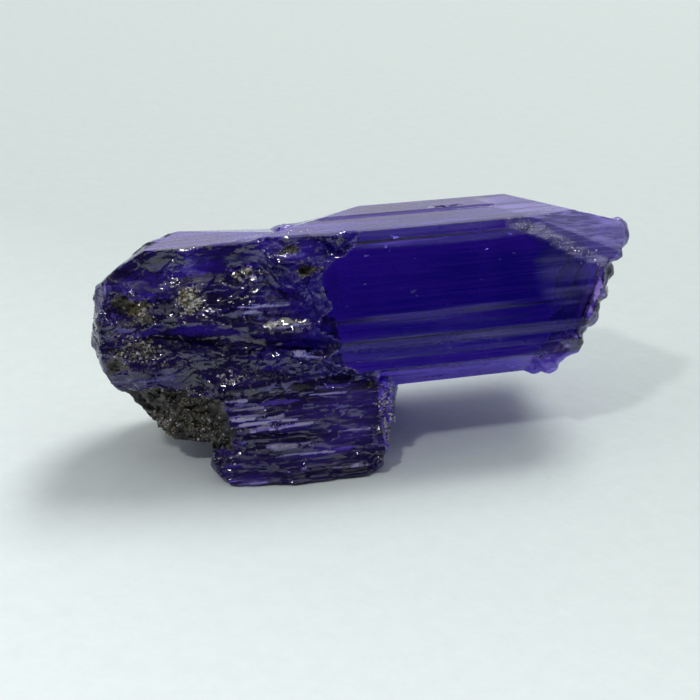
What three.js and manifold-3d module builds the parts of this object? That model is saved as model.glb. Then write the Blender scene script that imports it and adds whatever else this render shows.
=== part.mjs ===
// Rough tanzanite: one natural group of crystals, grown side by side and broken at both ends.
// Millimetres, +Z up.
//
// The stone is built in its own crystal axes. X runs along the crystals and their striations, Y goes
// through the thickness from the broad front face to the back, and Z goes up the broad face. The whole
// solid is then leaned back about X onto its broken underside, cut to the small flat spot that it rests
// on, and moved so that the middle of its base is the origin.
//
// Flat crystal faces come from columns and blocks. Broken surfaces are carved by reliefs, which are
// boxes whose one face is pushed in by a depth that changes from place to place.

import * as THREE from "three";
import { ConvexGeometry } from "three/addons/geometries/ConvexGeometry.js";
import { mergeVertices } from "three/addons/utils/BufferGeometryUtils.js";
import Module from "manifold-3d";

// Driving dimensions.
const LEAN_DEG = 30.5; // how far the broad face leans back when the stone rests
const FLAT_SPOT_DROP = 6.02; // from the crystal's X axis down to the surface that it rests on
const FACE_TOP = 2.95; // upper edge of the broad front face
const FACE_FOOT = -1.25; // its lower edge
const RIDGE = 4.32; // highest corner of the main crystal's section
const KEEL = -3.14; // its lowest corner
const THICKNESS = 5.8; // from the broad face to the back
const LEFT_END = -10.3; // where its left end broke
const BACK_PLANE = 6.9; // behind every part of the stone
const BLOCK_FOOT = -6.42; // front lower edge of the short crystal under the left half
const BLOCK_FRONT = 1.0; // how far that crystal's front is set back from the broad face
const TIP = 12.5; // as far right as the crystal reached before its end broke
const FRACTURE_STEP = [0.29, 0.27]; // facet size on the broken front, along X and up Z
const LEDGE_STEP = [0.55, 0.16]; // the same on the striated short crystal
const LEDGES_BELOW = -2.8; // where the one takes over from the other

const { lerp, clamp, smoothstep, degToRad } = THREE.MathUtils;
const wasm = await Module();
wasm.setup();

// A repeatable series of numbers from 0 to 1.
function series(seed) {
  let state = seed;
  return () => {
    state = (state + 0x6d2b79f5) | 0;
    let t = Math.imul(state ^ (state >>> 15), 1 | state);
    t = (t + Math.imul(t ^ (t >>> 7), 61 | t)) ^ t;
    return ((t ^ (t >>> 14)) >>> 0) / 4294967296;
  };
}

function solidOf(geometry) {
  const bare = geometry.clone();
  bare.deleteAttribute("normal");
  bare.deleteAttribute("uv");
  const merged = mergeVertices(bare, 1e-4);
  return new wasm.Manifold(
    new wasm.Mesh({
      numProp: 3,
      vertProperties: new Float32Array(merged.attributes.position.array),
      triVerts: new Uint32Array(merged.index.array),
    }),
  );
}

function geometryOf(solid) {
  const mesh = solid.getMesh();
  return new THREE.BufferGeometry()
    .setAttribute("position", new THREE.BufferAttribute(new Float32Array(mesh.vertProperties), 3))
    .setIndex(new THREE.BufferAttribute(new Uint32Array(mesh.triVerts), 1));
}

const joined = (solids) => solids.reduce((whole, solid) => whole.add(solid));

// The stone itself, without the loose chips that carving can leave beside it.
function largest(solid) {
  return solid.decompose().reduce((big, next) => (next.volume() > big.volume() ? next : big));
}

// A crystal of constant [y, z] section along X. Each end is a plane: x = at + rise * z + rake * y.
function column(section, left, right) {
  const shape = new THREE.Shape(section.map(([y, z]) => new THREE.Vector2(y, z)));
  const geometry = new THREE.ExtrudeGeometry(shape, { depth: 1, bevelEnabled: false, steps: 1 });
  const position = geometry.attributes.position;
  const endAt = (end, y, z) => end.at + (end.rise ?? 0) * z + (end.rake ?? 0) * y;
  for (let i = 0; i < position.count; i++) {
    const y = position.getX(i);
    const z = position.getY(i);
    const share = position.getZ(i);
    position.setXYZ(i, lerp(endAt(left, y, z), endAt(right, y, z), share), y, z);
  }
  return solidOf(geometry);
}

// A flat-faced lump of crystal with these corners.
function block(corners) {
  return solidOf(new ConvexGeometry(corners.map((corner) => new THREE.Vector3(...corner))));
}

// A small faceted knob. Its corners wander by a share of its radius.
function knob([x, y, z], radius, random, stretch = [1, 1, 1], detail = 1) {
  const geometry = new THREE.IcosahedronGeometry(radius, detail);
  geometry.deleteAttribute("normal");
  geometry.deleteAttribute("uv");
  const merged = mergeVertices(geometry, 1e-4);
  const position = merged.attributes.position;
  for (let i = 0; i < position.count; i++) {
    const grow = 0.82 + 0.36 * random();
    position.setXYZ(
      i,
      position.getX(i) * grow * stretch[0],
      position.getY(i) * grow * stretch[1],
      position.getZ(i) * grow * stretch[2],
    );
  }
  merged.rotateX(random() * 0.8).translate(x, y, z);
  return solidOf(merged);
}

// Everything on the side of a plane that its normal points to.
function beyond(point, normal) {
  const reach = 30;
  const geometry = new THREE.BoxGeometry(2 * reach, 2 * reach, reach);
  geometry.translate(0, 0, reach / 2);
  const turn = new THREE.Quaternion().setFromUnitVectors(
    new THREE.Vector3(0, 0, 1),
    new THREE.Vector3(...normal).normalize(),
  );
  geometry.applyQuaternion(turn);
  geometry.translate(...point);
  return solidOf(geometry);
}

// The space in front of a broken surface. The view names the axes that count as right, up and out. Its
// surface lies depthAt(right, up) inside the plane out = level.
function carver({ view, level, right, up, step, depthAt, seed, jitter = 0.5 }) {
  const random = series(seed);
  const columns = Math.round((right[1] - right[0]) / step[0]);
  const rows = Math.round((up[1] - up[0]) / step[1]);
  const geometry = new THREE.BoxGeometry(right[1] - right[0], up[1] - up[0], 1, columns, rows, 1);
  geometry.deleteAttribute("normal");
  geometry.deleteAttribute("uv");
  const merged = mergeVertices(geometry, 1e-4);
  merged.translate((right[0] + right[1]) / 2, (up[0] + up[1]) / 2, 0);
  const position = merged.attributes.position;
  const inside = (value, [low, high]) => value > low + 1e-3 && value < high - 1e-3;
  for (let i = 0; i < position.count; i++) {
    let a = position.getX(i);
    let b = position.getY(i);
    if (position.getZ(i) > 0) {
      position.setZ(i, level + 6);
      continue;
    }
    if (inside(a, right) && inside(b, up)) {
      a += (random() - 0.5) * jitter * step[0];
      b += (random() - 0.5) * jitter * step[1];
    }
    position.setXYZ(i, a, b, level - depthAt(a, b));
  }
  const axes = view.map((axis) => new THREE.Vector3(...axis));
  return solidOf(merged.applyMatrix4(new THREE.Matrix4().makeBasis(...axes)));
}

const FROM_FRONT = [[1, 0, 0], [0, 0, 1], [0, -1, 0]];
const FROM_BACK = [[-1, 0, 0], [0, 0, 1], [0, 1, 0]];
const FROM_LEFT = [[0, -1, 0], [0, 0, 1], [-1, 0, 0]];
const FROM_RIGHT = [[0, 1, 0], [0, 0, 1], [1, 0, 0]];

// The value at a place on a line of [place, value] points.
function along(points, place) {
  const next = points.findIndex(([at]) => at > place);
  if (next === 0) return points[0][1];
  if (next < 0) return points[points.length - 1][1];
  const [at0, value0] = points[next - 1];
  const [at1, value1] = points[next];
  return lerp(value0, value1, (place - at0) / (at1 - at0));
}

// Shell-shaped scoops with sharp ridges between them, one to a cell, as glassy fractures have. The
// result is a depth from about -0.5 on the ridges to 0.7 in the scoops.
function shells(cell, seed) {
  const table = new Map();
  const scoopIn = (i, j) => {
    const key = `${i},${j}`;
    if (!table.has(key)) {
      const random = series(seed + i * 7919 + j * 104729);
      const centre = [i + 0.15 + 0.7 * random(), j + 0.15 + 0.7 * random()];
      table.set(key, [...centre, 0.7 * random(), 1.4 * (random() - 0.5), 1.4 * (random() - 0.5)]);
    }
    return table.get(key);
  };
  return (a, b) => {
    const u = a / cell[0] + 40.3;
    const v = b / cell[1] + 40.7;
    let depth = -Infinity;
    for (let i = Math.floor(u) - 1; i <= Math.floor(u) + 1; i++) {
      for (let j = Math.floor(v) - 1; j <= Math.floor(v) + 1; j++) {
        const [x, y, base, slopeX, slopeY] = scoopIn(i, j);
        const du = u - x;
        const dv = v - y;
        depth = Math.max(depth, base + slopeX * du + slopeY * dv - 1.3 * (du * du + dv * dv));
      }
    }
    return depth;
  };
}

// A shell-shaped dent, or a mound where the depth is below zero.
function dentAt([x, z, length, height, turn, depth], a, b) {
  const angle = degToRad(turn);
  const u = ((a - x) * Math.cos(angle) + (b - z) * Math.sin(angle)) / length;
  const v = (-(a - x) * Math.sin(angle) + (b - z) * Math.cos(angle)) / height;
  return depth * Math.max(0, 1 - u * u - v * v);
}

const plates = shells([2.3, 0.95], 3);
const chunks = shells([1.05, 0.75], 12);
const faceAt = (z) => Math.max(0, (0.43 * (z - FACE_FOOT)) / (FACE_TOP - FACE_FOOT));

// The main crystal: a broad front face, stepped bevels under it, and a sloping roof face above it.
function mainCrystal() {
  const section = [
    [0.0, FACE_FOOT],
    [0.43, FACE_TOP],
    [0.62, 3.06],
    [2.05, 3.7],
    [2.12, 3.82],
    [3.4, RIDGE],
    [4.95, 3.25],
    [5.05, 2.6],
    [5.28, 2.5],
    [THICKNESS, 0.6],
    [5.55, -0.6],
    [5.35, -0.68],
    [4.9, -2.2],
    [3.0, -3.02],
    [1.95, KEEL],
    [0.86, -2.52],
    [0.64, -2.46],
    [0.56, -2.08],
    [0.36, -2.02],
    [0.29, -1.66],
    [0.1, -1.58],
  ];
  const whole = column(section, { at: -4.5 }, { at: TIP });
  const endBevel = beyond([7.3, 3.4, 4.28], [0.31, -0.22, 1]);
  const roofBreak = beyond([-0.42, 3.3, 4.05], [-0.2, -0.12, 1]);
  return whole.subtract(endBevel).subtract(roofBreak);
}

// The broken right end, as [z, x]. Behind its front part the end is set back, so the top is left as a tongue.
const RIGHT_OUTLINE = [
  [-3.4, 6.7],
  [-3.1, 7.1],
  [-2.6, 7.9],
  [-2.0, 8.5],
  [-1.5, 9.0],
  [-0.9, 9.45],
  [0, 9.9],
  [0.7, 10.0],
  [1.05, 10.8],
  [2.1, 11.3],
  [2.9, 11.0],
];

function rightEndAt(y, z) {
  return along(RIGHT_OUTLINE, z) - 0.1 * y - 0.7 * smoothstep(y, 2.6, 3.8) * smoothstep(z, 0.6, 1.4);
}

// Rounded, etched knobs along the broken right end, from the tip down to the keel.
function rightEndKnobs() {
  const random = series(11);
  const rim = [
    [1.3, 2.2, 0.5],
    [2.2, 2.15, 0.42],
    [1.2, 1.8, 0.46],
    [1.1, 1.25, 0.34],
    [0.9, 0.75, 0.56],
    [0.65, 0.2, 0.34],
    [0.85, -0.2, 0.5],
    [0.7, -0.75, 0.36],
    [0.9, -1.15, 0.52],
    [0.75, -1.6, 0.34],
    [0.9, -2.05, 0.56],
    [0.95, -2.45, 0.4],
    [1.25, -2.75, 0.56],
    [1.9, -2.95, 0.42],
  ];
  const knobs = rim.map(([y, z, radius]) => {
    const centre = [rightEndAt(y, z) + 0.04, y, z];
    return knob(centre, radius, random, [1, 1.2, 1.1]);
  });
  for (const [x, z, radius] of [[7.6, -2.55, 0.5], [7.25, -2.6, 0.34], [8.1, -2.2, 0.3]]) {
    knobs.push(knob([x, 1.15, z], radius, random));
  }
  for (let row = 0; row < 5; row++) {
    for (let step = 0; step < 7; step++) {
      const z = 2.5 - step * 0.8 - random() * 0.35;
      const y = 1.9 + row * 0.85 + random() * 0.4;
      if (y > 5.0 - 0.16 * z * z) continue;
      knobs.push(knob([rightEndAt(y, z) - 0.1, y, z], 0.36 + 0.2 * random(), random));
    }
  }
  return joined(knobs);
}

// The broken left half as two overlapping flat-faced masses, before its surfaces are carved.
function leftMass() {
  const slab = block([
    [-7.5, 3.1, 3.72],
    [-6.6, 3.3, 3.9],
    [0.4, 3.4, 3.5],
    [-8.3, 0.8, 2.9],
    [0.4, 0.45, 2.9],
    [-9.5, 1.2, 2.45],
    [-10.2, 2.4, 2.05],
    [-10.3, 3.9, 1.5],
    [-9.95, 0.5, 1.1],
    [-10.4, 1.5, 0.3],
    [-8.6, 0.15, 0.2],
    [-8.0, 0.38, 2.6],
    [-0.6, 0.42, 2.6],
    [-0.6, 0.12, -0.45],
    [-8.6, 5.3, 1.5],
    [-7.2, 5.0, 3.0],
    [-0.4, 5.1, 3.3],
    [-0.4, 5.9, 0.4],
    [-8.9, 5.2, -0.4],
  ]);
  const under = block([
    [LEFT_END - 0.3, 2.7, 0.2],
    [-10.5, 3.6, 0.9],
    [-10.1, 0.8, 0.3],
    [-9.0, 0.3, 0.2],
    [-9.95, 1.8, -1.6],
    [-9.15, 2.4, -3.1],
    [-7.7, 2.6, -4.3],
    [-5.8, 1.6, -5.0],
    [-5.2, 0.4, -3.6],
    [-8.4, 0.6, -1.8],
    [-0.6, 0.4, 0.2],
    [0.6, 0.75, -2.9],
    [-9.3, 4.6, -0.6],
    [-8.2, 5.6, -1.9],
    [-6.6, 6.4, -2.4],
    [-0.8, 6.3, -2.2],
    [-1.0, 6.2, 0.6],
    [-7.9, 6.0, 0.8],
  ]);
  const roofStep = block([
    [-3.1, 3.3, 3.62],
    [-2.45, 3.3, 3.83],
    [-1.0, 3.35, 3.92],
    [0.6, 3.4, 4.05],
    [-2.7, 2.0, 3.4],
    [0.6, 2.0, 3.6],
    [-2.8, 4.4, 3.2],
    [0.6, 4.6, 3.3],
    [-2.4, 2.4, 2.6],
    [0.6, 2.4, 2.6],
  ]);
  return joined([slab, under, roofStep]);
}

// The short crystal under the left half. Its right end slants away from a front edge to a farther one.
function lowerCrystal() {
  return block([
    [-6.1, 0.8, -4.7],
    [-6.35, 1.8, -5.5],
    [-5.6, 0.7, BLOCK_FOOT],
    [-0.05, 0.7, BLOCK_FOOT],
    [0.3, 0.7, -3.0],
    [1.45, 2.0, -2.9],
    [0.85, 2.0, -5.1],
    [0.05, 1.8, -6.3],
    [-5.8, 0.5, -3.0],
    [-5.6, 6.6, -4.6],
    [-5.4, 6.9, -2.4],
    [1.9, 5.4, -4.6],
    [2.1, 5.6, -2.6],
    [1.2, 6.7, -4.0],
  ]);
}

// Where the broad face stops and the fracture starts, as [z, x].
const FACE_LEFT = [
  [-7, 2.2],
  [-3.1, 1.7],
  [-2.4, -0.1],
  [-1.9, -1.5],
  [-1.3, -0.9],
  [-0.57, -2.06],
  [-0.33, -1.8],
  [0.19, -1.14],
  [1.46, -1.46],
  [2.29, 0.05],
  [3, 0.4],
  [5, 0.7],
];

// General depth of the fracture under the broad face, as [z, depth].
const FRONT_DEPTH = [
  [-7, 0.95],
  [-6.3, 0.93],
  [-4.6, BLOCK_FRONT],
  [-3.2, 1.05],
  [-2.6, 1.0],
  [-1.9, 0.85],
  [-0.3, 0.5],
  [0.2, 0.32],
  [1, 0.35],
  [2, 0.25],
  [2.8, 0.08],
  [4, 0],
];

// Dents and mounds of the broken front: x, z, half length, half height, turn in degrees, depth.
const FRONT_DENTS = [
  [-2.2, 2.2, 1.8, 1.3, 25, -0.42],
  [-1.96, 1.66, 0.55, 0.42, 0, 0.45],
  [-2.54, 2.5, 0.6, 0.4, 20, 0.4],
  [-0.9, 2.5, 0.7, 0.4, -30, 0.3],
  [-2.9, 1.25, 1.5, 0.34, -39, 0.5],
  [-5.1, 2.2, 1.7, 0.95, -8, 0.35],
  [-4.6, 1.7, 0.45, 0.5, 30, 0.4],
  [-3.8, 1.1, 0.8, 0.4, 50, -0.35],
  [-6.5, 0.95, 0.75, 0.65, 0, -0.4],
  [-7.4, 2.1, 0.9, 0.55, 15, 0.25],
  [-8.95, 0.95, 0.85, 0.5, 0, 0.65],
  [-3.0, 0.0, 2.2, 0.52, -1, 0.6],
  [-2.9, -0.5, 1.7, 0.2, -2, -0.35],
  [-6.2, 0.1, 1.3, 0.35, 5, -0.3],
  [-4.9, -0.8, 4.4, 0.5, -9, 0.55],
  [-2.3, -1.6, 0.9, 0.3, -23, -0.4],
  [-8.6, -1.2, 0.9, 0.7, 0, -0.35],
  [-3.9, -2.0, 1.0, 0.45, 0, 0.3],
  [-1.2, -2.3, 0.9, 0.35, -10, 0.3],
  [-5.8, -4.75, 0.5, 0.4, 0, 0.7],
  [-0.7, -4.2, 0.9, 0.45, -25, 0.18],
];

// Ledges of the short crystal: z of the crest at x = -3, slope, left end, right end, half height, and
// how far it stands out.
const BLOCK_LEDGES = [
  [-3.2, -0.02, -5.9, -4.0, 0.3, 0.25],
  [-3.65, 0.02, -6.0, -3.2, 0.3, 0.32],
  [-4.1, -0.03, -6.1, -1.5, 0.4, 0.42],
  [-4.62, -0.02, -5.6, -2.2, 0.26, 0.18],
  [-5.05, -0.07, -4.8, -1.7, 0.3, 0.3],
  [-5.45, -0.03, -5.7, 0.8, 0.4, 0.22],
  [-5.92, 0.0, -3.8, 0.1, 0.3, 0.28],
  [-6.4, 0.0, -6.5, 0.2, 0.34, 0.26],
];

function frontDepth(x, z) {
  const left = along(FACE_LEFT, z) - x;
  if (left < 0) return -0.3;
  let depth = faceAt(z) + along(FRONT_DEPTH, z) + 0.008 * Math.max(0, -x - 1) ** 2;
  const wedge = Math.max(0, -0.85 * (x + 5.5) - 0.5 * (z + 2.6));
  const onWedge = smoothstep(-x, 5.2, 5.8) * smoothstep(-z, 1.6, 2.4) * smoothstep(z, -5.2, -4.7);
  depth += 0.42 * wedge * onWedge;
  for (const dent of FRONT_DENTS) depth += dentAt(dent, x, z);
  const onBlock = smoothstep(-z, 2.7, 3.4) * smoothstep(x, -6.2, -5.6);
  const calm = clamp(1.6 - 1.6 * Math.hypot((x + 5.1) / 1.9, (z - 2.2) / 1.1), 0, 1);
  const rough = lerp(1, 0.2, onBlock) * lerp(1, 0.2, calm);
  depth += rough * (0.24 * plates(x, z) + lerp(0.16, 0.34, onWedge) * chunks(x, z));
  for (const [crest, slope, from, to, half, out] of BLOCK_LEDGES) {
    const off = z - crest - slope * (x + 3);
    const taper = Math.min(1, (x - from) / 0.5, (to - x) / 0.5);
    const profile = off > 0 ? 1 - off / (0.6 * half) : 1 + off / half;
    if (taper > 0 && profile > 0) depth -= out * taper * profile;
  }
  return lerp(faceAt(z) - 0.05, depth, smoothstep(left, 0, 0.5));
}

// Lumps of dark host rock, grown onto the lower left slope and onto the short crystal's right end.
function rockLumps() {
  const random = series(17);
  const lumps = [];
  for (let i = 0; i < 13; i++) {
    const share = (i + 0.5 * random()) / 12;
    const x = lerp(-8.9, -5.9, share);
    const z = lerp(-1.9, -4.4, share) + 0.9 * (random() - 0.3);
    const centre = [x, frontDepth(x, z) + 0.12, z];
    lumps.push(knob(centre, 0.22 + 0.16 * random(), random, [1.3, 1, 0.9], 0));
  }
  for (let i = 0; i < 9; i++) {
    const z = lerp(-3.0, -6.1, (i + random()) / 9);
    const x = lerp(0.5, 1.25, random()) - 0.19 * (-3 - z) ** 1.3;
    const centre = [x, 0.75 + 1.1 * Math.max(0, x - 0.1), z];
    lumps.push(knob(centre, 0.2 + 0.12 * random(), random, [1, 1, 1.1], 0));
  }
  return joined(lumps);
}

// Depth of the broken back, counted in from the plane y = BACK_PLANE. The main crystal's own back faces
// are left alone.
const backPlates = shells([2.6, 1.2], 21);
const backChunks = shells([1.3, 0.9], 22);
const BACK_DEPTH = [
  [-7, 2.4],
  [-5, 1.0],
  [-3.5, 0.35],
  [-2, 0.6],
  [-0.5, 1.0],
  [1, 1.2],
  [2.5, 1.7],
  [4, 2.6],
];
const BACK_DENTS = [
  [3.0, 0.5, 2.2, 1.0, 10, 0.5],
  [6.5, -0.8, 1.6, 0.8, -15, 0.4],
  [1.0, -2.4, 2.2, 0.5, 5, 0.45],
  [7.6, 1.6, 1.5, 0.6, 0, 0.5],
  [4.6, -3.6, 1.8, 0.6, 0, 0.35],
];

function backDepth(minusX, z) {
  const x = -minusX;
  const left = 0.4 + 0.35 * Math.sin(2.1 * z) - x;
  if (left < 0 && z > -2.4) return -0.3;
  let depth = along(BACK_DEPTH, z) + 0.006 * Math.max(0, -x) ** 2;
  for (const dent of BACK_DENTS) depth += dentAt(dent, minusX, z);
  depth += 0.4 * backPlates(x, z) + 0.16 * backChunks(x, z);
  return z > -2.4 ? lerp(0.4, depth, smoothstep(left, 0, 0.6)) : depth;
}

// The broken left end, as [z, x], and its depth counted in from the plane x = LEFT_END.
const LEFT_OUTLINE = [
  [-5.2, -5.6],
  [-4.8, -6.3],
  [-4.5, -7.1],
  [-4.1, -7.9],
  [-3.4, -9.0],
  [-2.9, -9.4],
  [-2.3, -9.75],
  [-1.5, -10.0],
  [-0.3, -10.2],
  [0.2, -10.3],
  [1.1, -10.1],
  [1.9, -10.0],
  [2.1, -9.75],
  [2.5, -9.2],
  [3.5, -7.7],
  [4.2, -6.4],
];
const endPlates = shells([1.7, 1.2], 31);
const endChunks = shells([0.9, 0.8], 32);

function leftEndDepth(minusY, z) {
  const y = -minusY;
  const outline = along(LEFT_OUTLINE, z) - LEFT_END;
  return outline + 0.09 * (y - 2.8) ** 2 + 0.3 * endPlates(minusY, z) + 0.16 * endChunks(minusY, z) - 0.1;
}

// Depth of the broken right end, counted in from the plane x = TIP.
function rightEndDepth(y, z) {
  return TIP - rightEndAt(y, z) + 0.25 * endPlates(y + 20, z) + 0.2 * endChunks(y + 20, z);
}

function tanzanite() {
  const frontBreak = carver({
    view: FROM_FRONT,
    level: 0,
    right: [-11, 2.2],
    up: [LEDGES_BELOW - 0.1, 4.0],
    step: FRACTURE_STEP,
    depthAt: frontDepth,
    seed: 5,
  });
  const ledges = carver({
    view: FROM_FRONT,
    level: 0,
    right: [-8.8, 2.2],
    up: [-7.2, LEDGES_BELOW],
    step: LEDGE_STEP,
    depthAt: frontDepth,
    seed: 4,
    jitter: 0.2,
  });
  const backBreak = carver({
    view: FROM_BACK,
    level: BACK_PLANE,
    right: [-2.6, 11],
    up: [-6.4, 4.6],
    step: [0.76, 0.48],
    depthAt: backDepth,
    seed: 6,
  });
  const leftBreak = carver({
    view: FROM_LEFT,
    level: -LEFT_END,
    right: [-7.2, 0.4],
    up: [-5.2, 4.4],
    step: [0.42, 0.36],
    depthAt: leftEndDepth,
    seed: 7,
  });
  const rightBreak = carver({
    view: FROM_RIGHT,
    level: TIP,
    right: [-0.6, 6.4],
    up: [-3.6, 4.6],
    step: [0.42, 0.36],
    depthAt: rightEndDepth,
    seed: 9,
  });
  const left = leftMass().subtract(leftBreak);
  const crystals = joined([mainCrystal().subtract(rightBreak), left, lowerCrystal()]);
  const tipFacet = beyond([7.6, 0.42, 2.8], [0.146, -1, 0.395]);
  const carved = crystals.subtract(frontBreak).subtract(ledges).subtract(backBreak).subtract(tipFacet);
  const roofNick = knob([4.2, 2.3, 3.92], 0.16, series(2), [6, 1, 0.7], 0);
  return joined([carved.subtract(roofNick), rightEndKnobs(), rockLumps()]);
}

// Leans the stone back, cuts its flat spot and puts the middle of its base at the origin.
function rested(solid) {
  const leaned = geometryOf(solid).rotateX(-degToRad(LEAN_DEG)).translate(0, 0, FLAT_SPOT_DROP);
  const cut = solidOf(leaned).subtract(beyond([0, 0, 0], [0, 0, -1]));
  const geometry = geometryOf(cut);
  geometry.computeBoundingBox();
  const { min, max } = geometry.boundingBox;
  return geometry.translate(-(min.x + max.x) / 2, -(min.y + max.y) / 2, -min.z);
}

const crystalFinish = new THREE.MeshStandardMaterial({ color: 0x2a1a8c, roughness: 0.15, metalness: 0 });
const stone = new THREE.Mesh(rested(largest(tanzanite())), crystalFinish);
stone.name = "tanzanite_crystal";

const part = new THREE.Group();
part.add(stone);
export default part;
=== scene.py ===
"""Rough tanzanite on pale paper: its fine surface, its rock grains, the light and the camera."""

import math

import bmesh
import bpy
import numpy as np
from mathutils import Matrix, Vector
from mathutils.bvhtree import BVHTree


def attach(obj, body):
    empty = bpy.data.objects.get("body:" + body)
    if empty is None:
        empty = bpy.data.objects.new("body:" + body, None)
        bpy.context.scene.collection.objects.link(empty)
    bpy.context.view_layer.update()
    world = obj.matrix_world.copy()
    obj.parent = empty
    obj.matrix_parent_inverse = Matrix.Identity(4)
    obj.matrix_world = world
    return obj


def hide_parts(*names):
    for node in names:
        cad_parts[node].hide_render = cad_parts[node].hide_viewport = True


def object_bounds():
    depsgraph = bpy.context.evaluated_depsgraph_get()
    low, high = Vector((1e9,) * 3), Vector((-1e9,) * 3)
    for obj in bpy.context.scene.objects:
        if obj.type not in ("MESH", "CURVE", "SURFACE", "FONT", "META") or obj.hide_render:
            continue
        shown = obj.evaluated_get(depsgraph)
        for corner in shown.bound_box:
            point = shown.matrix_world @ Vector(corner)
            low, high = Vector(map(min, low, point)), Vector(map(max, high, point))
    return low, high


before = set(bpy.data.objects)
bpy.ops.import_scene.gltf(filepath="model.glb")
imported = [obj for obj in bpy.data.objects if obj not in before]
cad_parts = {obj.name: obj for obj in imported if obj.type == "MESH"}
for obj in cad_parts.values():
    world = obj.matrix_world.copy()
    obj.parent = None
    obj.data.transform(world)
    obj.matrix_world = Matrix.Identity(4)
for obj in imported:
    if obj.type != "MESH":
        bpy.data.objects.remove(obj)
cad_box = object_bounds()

MM = 0.001

# The stone's own crystal axes, in millimetres: X along the crystals, Y from the broad front face inwards, and
# Z up that face. The stone is leaned back by LEAN. CRYSTAL_ORIGIN is where its axes start in the row frame.
LEAN = math.radians(30.5)
CRYSTAL_ORIGIN = np.array([-0.5958, -1.6560, 6.02]) * MM
CRYSTAL_AXES = np.array(
    [
        [1, 0, 0],
        [0, math.cos(LEAN), -math.sin(LEAN)],
        [0, math.sin(LEAN), math.cos(LEAN)],
    ]
)

# The stone's mesh has quads of VOXEL on its grown faces and its back. Its broken surfaces have quads of half
# that size up to FINE_DEPTH behind the broad face, but not right of and behind ROUNDED_END.
VOXEL = 0.115 * MM
FINE_DEPTH = 3.0
ROUNDED_END = (7.0, 1.2)
FRONT_NORMAL = 0.1  # a surface faces the front where its normal's Y is below this

# A flat face larger than GROWN_AREA (square millimetres) grew, and a smaller one broke. The main crystal has
# no breaks between its two ends: there BEVEL_AREA is enough, and over ROOF_HEIGHT every face grew.
GROWN_AREA = 0.95
BEVEL_AREA = 0.25
MAIN_CRYSTAL = (1.2, 7.8)
ROOF_HEIGHT = 3.2
END_NORMAL = 0.25  # a face whose normal's X is larger than this, either way, broke
SAME_PLANE = 0.99999  # two faces are one flat face where the cosine between their normals is over this

CREASE = math.radians(5)  # a sharper edge than this between two grown faces stays exactly in place
CREASE_REACH = 0.55 * VOXEL  # points of the mesh as near as this to such an edge move onto it
SHARP = math.radians(20)  # a sharper edge than this shows as an edge, and a blunter one is shaded smooth
RELIEF_RIM = 2  # points of the mesh from a grown face to where the breaks next to it have their full relief
ALMOST_NONE = 1e-6  # a share of broken surface under this is none
WELD = 1e-7  # points of the solid as near as this, in metres, are one
SMOOTHING = 0.5  # how far one step takes a point of the broken surface to the mean of its neighbours
SMOOTHING_STEPS = 4  # on all broken surfaces
ROUNDING_STEPS = 70  # where they are rounded, the first four included
LOOSE_LUMP_SEAT = (-8.6, 2.85, -2.9)  # the lump at the lower left end is drawn in to this place on the slope
LOOSE_LUMP_SHARE = 0.85  # how much of the way


def to_crystal(points):
    """Row frame metres to crystal axes in millimetres."""
    return (np.asarray(points) - CRYSTAL_ORIGIN) @ CRYSTAL_AXES.T / MM


def to_row(points):
    """Crystal axes in millimetres to row frame metres."""
    return np.asarray(points) @ CRYSTAL_AXES * MM + CRYSTAL_ORIGIN


def smoothstep(value, low, high):
    """0 below low, 1 above high, and a smooth rise between."""
    t = np.clip((value - low) / (high - low), 0, 1)
    return t * t * (3 - 2 * t)


# ---------------------------------------------------------------- relief of broken crystal

# Large odd factors that mix the bits of a cell's three numbers and of a salt, which tells patterns apart.
CELL_FACTORS = (73856093, 19349663, 83492791)
SALT_FACTOR = 40503551
STIRRING_FACTORS = (1274126177, 2246822519)
BITS_32 = 0xFFFFFFFF
BITS_24 = 0xFFFFFF
FAR = 1e9  # more than any distance here
GRID_START = 100.5  # cells from the first cell to the crystal axes' zero, so that no border runs through zero


def hashed(cells, salt):
    """A number from 0 to 1 for every whole-number cell."""
    c = cells.astype(np.int64)
    h = salt * SALT_FACTOR
    for axis, factor in enumerate(CELL_FACTORS):
        h = h ^ (c[..., axis] * factor)
    h = ((h ^ (h >> 13)) * STIRRING_FACTORS[0]) & BITS_32
    h = ((h ^ (h >> 15)) * STIRRING_FACTORS[1]) & BITS_32
    return ((h ^ (h >> 13)) & BITS_24) / BITS_24


def cells_around(points, cell, salt):
    """Each of the 27 cells at and around every point, and the way to the point from a spot in that cell."""
    p = points / np.asarray(cell, float) + GRID_START
    base = np.floor(p)
    for dx in (-1, 0, 1):
        for dy in (-1, 0, 1):
            for dz in (-1, 0, 1):
                c = base + (dx, dy, dz)
                spot = c + np.stack([0.15 + 0.7 * hashed(c, salt + k) for k in range(3)], -1)
                yield c, p - spot


def shells(points, cell, salt):
    """Depth of shell-shaped scoops with sharp ridges between them, one to a cell."""
    offset, slope, bend = 0.7, 1.4, 1.3
    depth = np.full(len(points), -FAR)
    for c, away in cells_around(points, cell, salt):
        tilt = np.stack([hashed(c, salt + 3 + k) - 0.5 for k in range(3)], -1)
        here = offset * hashed(c, salt + 6) + slope * (tilt * away).sum(-1) - bend * (away**2).sum(-1)
        np.maximum(depth, here, out=depth)
    return depth


def plates(points, cell, salt):
    """Depth of small flat plates with a step between one and the next, one to a cell, as cleavage leaves."""
    slope = 1.2
    depth = np.zeros(len(points))
    nearest = np.full(len(points), FAR)
    for c, away in cells_around(points, cell, salt):
        distance = (away**2).sum(-1)
        closer = distance < nearest
        nearest[closer] = distance[closer]
        cc, aa = c[closer], away[closer]
        tilt = np.stack([hashed(cc, salt + 3 + k) - 0.5 for k in range(3)], -1)
        depth[closer] = hashed(cc, salt + 6) - 0.5 + slope * (tilt * aa).sum(-1)
    return depth


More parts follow.
